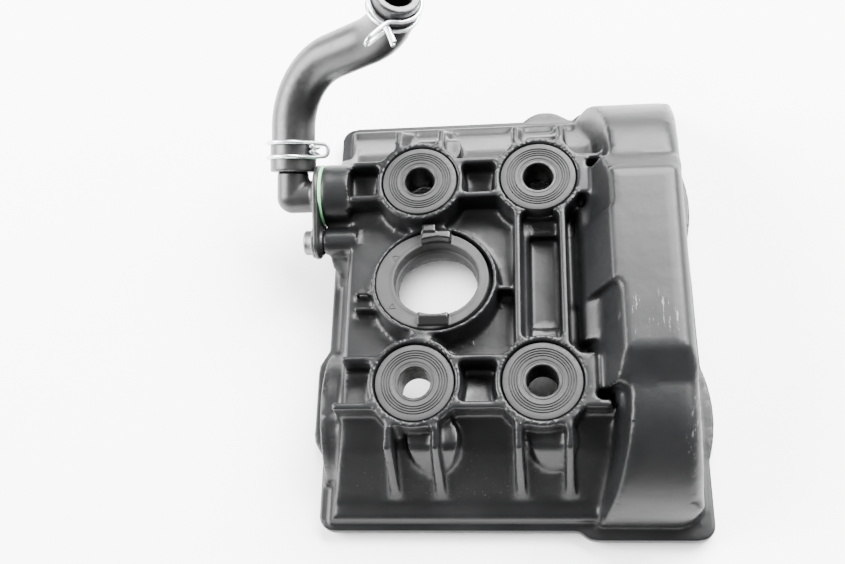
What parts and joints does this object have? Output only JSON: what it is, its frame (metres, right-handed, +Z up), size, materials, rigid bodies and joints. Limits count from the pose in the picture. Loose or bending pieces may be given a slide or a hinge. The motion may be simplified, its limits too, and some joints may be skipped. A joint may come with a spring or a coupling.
{
  "type": "cylinder head cover",
  "caption": "Cast cover for a twin-cam cylinder head, with rubber-bushed bolt bosses, a sealed coil port and a breather elbow with its hose and spring clamps.",
  "frame": {"origin": "centre of the four cover bolt holes, in the plane of the boss tops", "axes": "+X towards the cam chain housing, +Y towards the back, +Z up, away from the cylinder head"},
  "size_m": [0.1725, 0.1818, 0.1008],
  "materials": {
    "casting_black": "satin black coating on cast magnesium",
    "gasket_rubber": "matte moulded rubber",
    "seal_rubber": "matte grey-black moulded rubber",
    "grommet_rubber": "matte grey-black moulded rubber",
    "bush_steel": "black phosphated steel",
    "elbow_plastic": "glass-filled nylon, fine moulded texture",
    "ring_green": "smooth green fluoro-rubber",
    "screw_steel": "dull zinc-plated steel",
    "insert_brass": "machined brass",
    "hose_rubber": "matte extruded rubber, soft sheen",
    "clamp_zinc": "bright zinc-plated spring wire",
    "sheet_steel": "plain pressed steel",
    "pad_nylon": "smooth black nylon"
  },
  "bodies": {
    "cover": {"head_cover": "casting_black", "cover_gasket": "gasket_rubber", "tunnel_gasket": "gasket_rubber", "breather_elbow": "elbow_plastic", "elbow_o_ring": "ring_green", "elbow_bolt": "screw_steel", "bolt_insert": "insert_brass", "baffle_plate": "sheet_steel", "baffle_screws": "screw_steel", "chain_guide": "sheet_steel", "guide_pad": "pad_nylon", "guide_screws": "screw_steel", "grommet_front_left": "grommet_rubber", "bush_front_left": "bush_steel", "grommet_back_left": "grommet_rubber", "bush_back_left": "bush_steel", "grommet_front_right": "grommet_rubber", "bush_front_right": "bush_steel", "grommet_back_right": "grommet_rubber", "bush_back_right": "bush_steel"},
    "seal": {"coil_seal": "seal_rubber"},
    "hose": {"breather_hose": "hose_rubber"},
    "clamp_low": {"lower_clamp": "clamp_zinc"},
    "clamp_high": {"upper_clamp": "clamp_zinc"}
  },
  "joints": [
    {"name": "seal_lift", "type": "slide", "parent": "cover", "child": "seal", "axis": [0, 0.1564, 0.9877], "range_m": [0, 0.012]},
    {"name": "hose_swivel", "type": "hinge", "parent": "cover", "child": "hose", "pos_m": [-0.0748, 0.0415, -0.0125], "axis": [0.0445, 0.8935, 0.4468], "range_deg": [-40, 25]},
    {"name": "lower_clamp_slide", "type": "slide", "parent": "hose", "child": "clamp_low", "axis": [0.0445, 0.8935, 0.4468], "range_m": [-0.002, 0.005]},
    {"name": "upper_clamp_swivel", "type": "hinge", "parent": "hose", "child": "clamp_high", "pos_m": [-0.0242, 0.0822, 0.0582], "axis": [0.3053, 0.0314, 0.9517], "range_deg": [-120, 120]}
  ]
}
